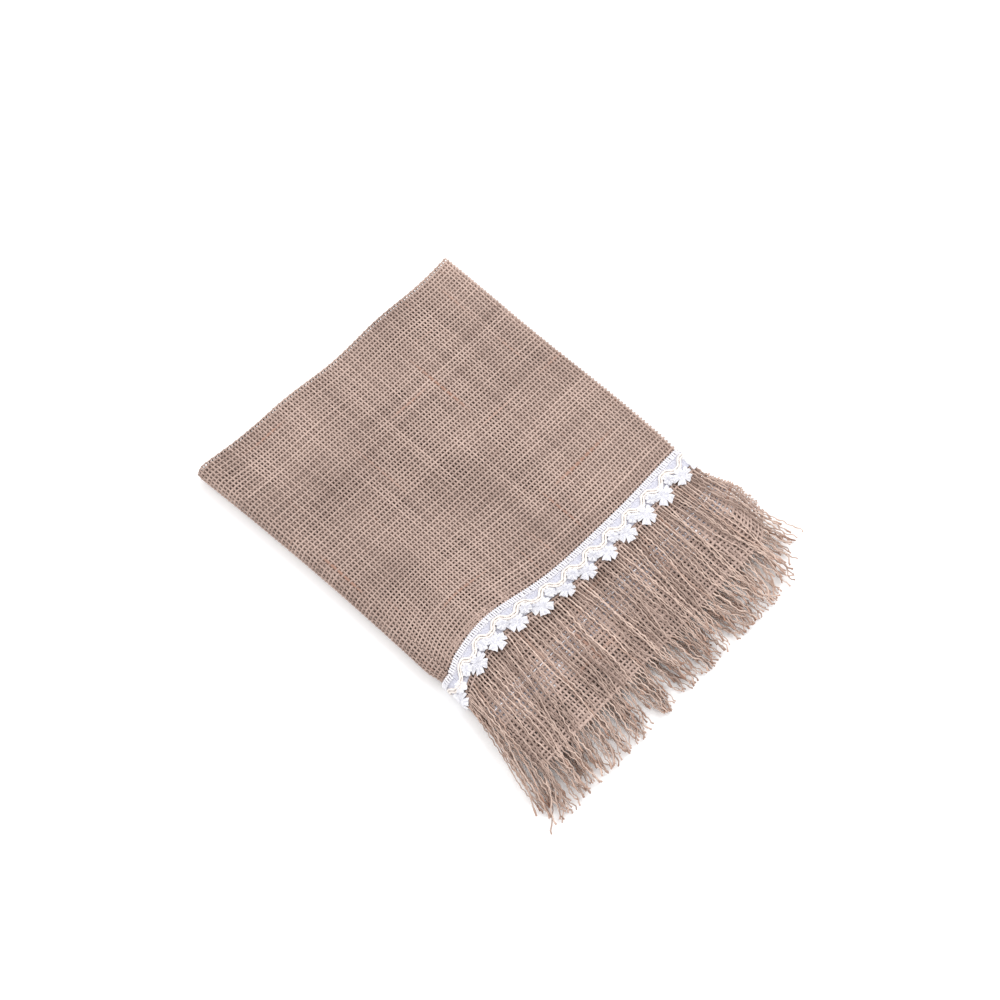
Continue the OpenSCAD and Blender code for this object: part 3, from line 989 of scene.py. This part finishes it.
# ---------------------------------------------------------------- the sewing
# White thread runs beside the whipped edge and holds the braid to the cloth. Its stitches
# show on the tape and as short specks on the cloth's other side.
stitch_pitch = 4.2 * MM
stitch_l = 2.4 * MM
stitch_a = edge_w + 1.3 * MM
for half, end in flat_braids:
    parts = []
    for level, dip in ((tape_t + 0.1 * MM, -0.25 * MM), (-ply_t - 0.12 * MM, 0.35 * MM)):
        stitch = [(stitch_a, t * stitch_l / 2, level + dip * t ** 4)
                  for t in np.linspace(-1, 1, 7)]
        parts.append(run_tree("stitches", line_mesh("stitch", stitch), loops_of_thread, {
            "Count": int((flat_w - ribbon_w) / stitch_pitch), "Start": 2.4 * MM,
            "Spacing": stitch_pitch, "Thread": 0.5 * MM, "Unevenness": 0.05, "Sides": 6,
            "Seed": 4, "Material": white_thread}))
    piece = join(f"{half}_{end}_stitching_thread", parts)
    sew_on(piece, half, end, "white_thread", "stitching")


# ---------------------------------------------------------------- the fringe
# The weft is pulled out past the last row, so the warp yarns hang free. They keep the crimp
# of the weave, hang in loose bunches, cross each other, and end in rusty, frayed tips.
jute_fringe = jute_material("jute_fringe", colour(120, 98, 89), colour(228, 203, 189),
                            colour(146, 98, 72))
draws = np.random.default_rng(654)
# For each end: how far along its run the edge is, the step back into the cloth, where the
# tips reach, and the points in a yarn.
fringe_ends = {"front": (0.0, 1.5 * MM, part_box("upper_front_fringe")[1][0] + 4 * MM, 30),
               "back": (runs["back"][0] * weft_pitch, -1.5 * MM,
                        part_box("upper_back_fringe")[1][0], 18)}
lowest_yarn = 0.55 * MM


def spread(from_roll, at_roll, at_selvage):
    """How far sideways the tips lie, by how far from the roll their yarns start."""
    t = np.clip(from_roll / (flat_w + 6 * MM), 0, 1)
    return at_roll * (1 - t) ** 4 + at_selvage * t ** 6


def bunches(count):
    """Which loose bunch each yarn of a row hangs in, and how far that bunch leans."""
    bunch, lean = [], []
    while len(bunch) < count:
        size = int(draws.integers(2, 7))
        bunch += [len(lean)] * size
        lean.append(draws.normal(0, 1))
    return np.array(bunch[:count]), np.array(lean)


def fringe(half, end, places, at_roll, at_selvage, tip_z, loose, least=0.8):
    """Every yarn of a fringe, in a row along the cloth's edge."""
    edge_s, inward, tip_x, steps = fringe_ends[end]
    roots = lay(half, end, edge_s, places, 0, settled=False)
    inner = lay(half, end, edge_s + inward, places, 0, settled=False)
    bunch, lean = bunches(len(places))
    middles = np.array([roots[bunch == b, 1].mean() if (bunch == b).any() else 0
                        for b in range(len(lean))])
    made = []
    for i, root in enumerate(roots):
        length = (tip_x - root[0]) * (1 - draws.uniform(0, 0.24) ** 1.3)
        length -= 15 * MM * smooth_step((root[1] - selvage_y + 14 * MM) / (14 * MM))
        side = spread(root[1] - fold_y, at_roll, at_selvage) * draws.uniform(least, 1)
        side += 0.65 * (middles[bunch[i]] - root[1])
        side += (lean[bunch[i]] * 2.7 + draws.normal(0, 1.7)) * MM * loose
        side = max(side, cad_low[1] - 12 * MM - root[1])
        turns = draws.uniform(0, 2 * math.pi, 4)
        over = draws.uniform(0, 1.5) * MM
        t = np.linspace(0, 1, steps)
        crimp = 0.36 * MM * np.sin(length * t / weft_pitch * math.pi + i * math.pi)
        wavy = 1.0 * np.sin(t * 7 + turns[0]) + 0.6 * np.sin(t * 13 + turns[1])
        x = root[0] + length * (t - 0.02 * t * t)
        y = root[1] + side * t ** 1.1 + loose * MM * t * wavy + crimp
        hang = smooth_step(t) if end == "back" else smooth_step(
            (x - back_x + 8 * MM) / (tip_x - back_x + 8 * MM))
        z = root[2] + over * np.sin(math.pi * np.minimum(t * 1.2, 1))
        z += (tip_z + over - root[2]) * hang + 0.3 * MM * t * np.sin(t * 9 + turns[2])
        line = np.concatenate([[inner[i]], np.stack([x, y, np.maximum(z, lowest_yarn)], -1)])
        t = np.concatenate([[0], t])
        frayed = smooth_step((t - 0.93) / 0.05)
        thick = (0.88 + draws.uniform(-0.14, 0.16)) * (1 - 0.12 * t) + 0.25 * frayed
        thick += 0.06 * np.sin(t * 40 + turns[3])
        twist = t * length / (16 * MM) * 2 * math.pi
        # Painted light: yarns nearer the selvage are painted lighter, as if more light fell on
        # that side.
        painted_light_selvage_side = 0.2 * smooth_step((root[1] - 15 * MM) / (60 * MM))
        mottled = 0.12 * np.sin(t * 11 + turns[0])
        tone = np.clip(0.53 + draws.normal(0, 0.26) + painted_light_selvage_side + mottled, 0, 1)
        slub = 0.45 * frayed + 0.3 * (draws.uniform() < 0.05)
        made.append((settle(line), thick, twist, tone, slub))
    return made


def selvage_loops(half):
    """Small loose loops of weft that stand out along the selvage of a back end."""
    first_s, last_s = front_x - plies_x + 3 * MM, (runs["back"][0] - 2) * weft_pitch
    made = []
    turns = np.linspace(0, math.pi, 8)
    for s in np.arange(first_s, last_s, weft_pitch * 0.5):
        out = (1.1 + draws.uniform(0, 1.3)) * MM
        lean = draws.normal(0.3, 0.5) * MM
        along = flat_w - 0.6 * MM + out * np.sin(turns)
        step = s + lean * np.sin(turns) + 0.5 * weft_pitch * (turns / math.pi - 0.5)
        line = lay(half, "back", step, along, draws.normal(0, 0.25) * MM)
        made.append((line, 0.6, turns * 0.5, np.clip(draws.normal(0.55, 0.2), 0, 1), 0.0))
    return made


# For each fringe: how far sideways its tips lie at the roll and at the selvage, their height,
# and how loose it is.
fringe_rules = {("upper", "front"): (-24 * MM, 9 * MM, 6.0 * MM, 1.4),
                ("lower", "front"): (-26 * MM, 6 * MM, 1.0 * MM, 1.4),
                ("upper", "back"): (-9 * MM, 3 * MM, 4.0 * MM, 1.3),
                ("lower", "back"): (-9 * MM, 3 * MM, 1.4 * MM, 1.3)}
places = (np.arange(warps_across) + 0.5) * warp_pitch
for (half, end), rule in fringe_rules.items():
    made = fringe(half, end, places, *rule)
    if end == "back":
        made += selvage_loops(half)
    width = 1.12 * MM if end == "front" else 0.95 * MM
    piece = yarns(f"{half}_{end}_fringe_yarns", made, width, 0.72, jute_fringe)
    ride_end(piece, half, end, "jute_fringe", f"{half}_{end}_fringe")
for end, count, at_roll in (("front", 17, -26 * MM), ("back", 11, -9 * MM)):
    places = -(np.arange(count) + 0.5) * math.pi * roll_radius[end] / count
    made = fringe("lower", end, places, at_roll, 0, 1.6 * MM, 1.3, 0.3)
    piece = yarns(f"{end}_roll_fringe_yarns", made, 0.95 * MM, 0.72, jute_fringe)
    ride_end(piece, "roll", end, "jute_fringe")


# ---------------------------------------------------------------- the pieces on each ply
# For each ply, the braid, sewing and fringe that are on it are gathered; a lower ply also
# gets the strip round the fold and what is sewn on there.
for (half, run), piece in plies.items():
    on_it = list(end_pieces.get((half, run), []))
    if half == "lower":
        on_it += [roll_cloth[run], *end_pieces.get(("roll", run), [])]
    ["lower_front_panel_cloth"] if half == "upper" else []
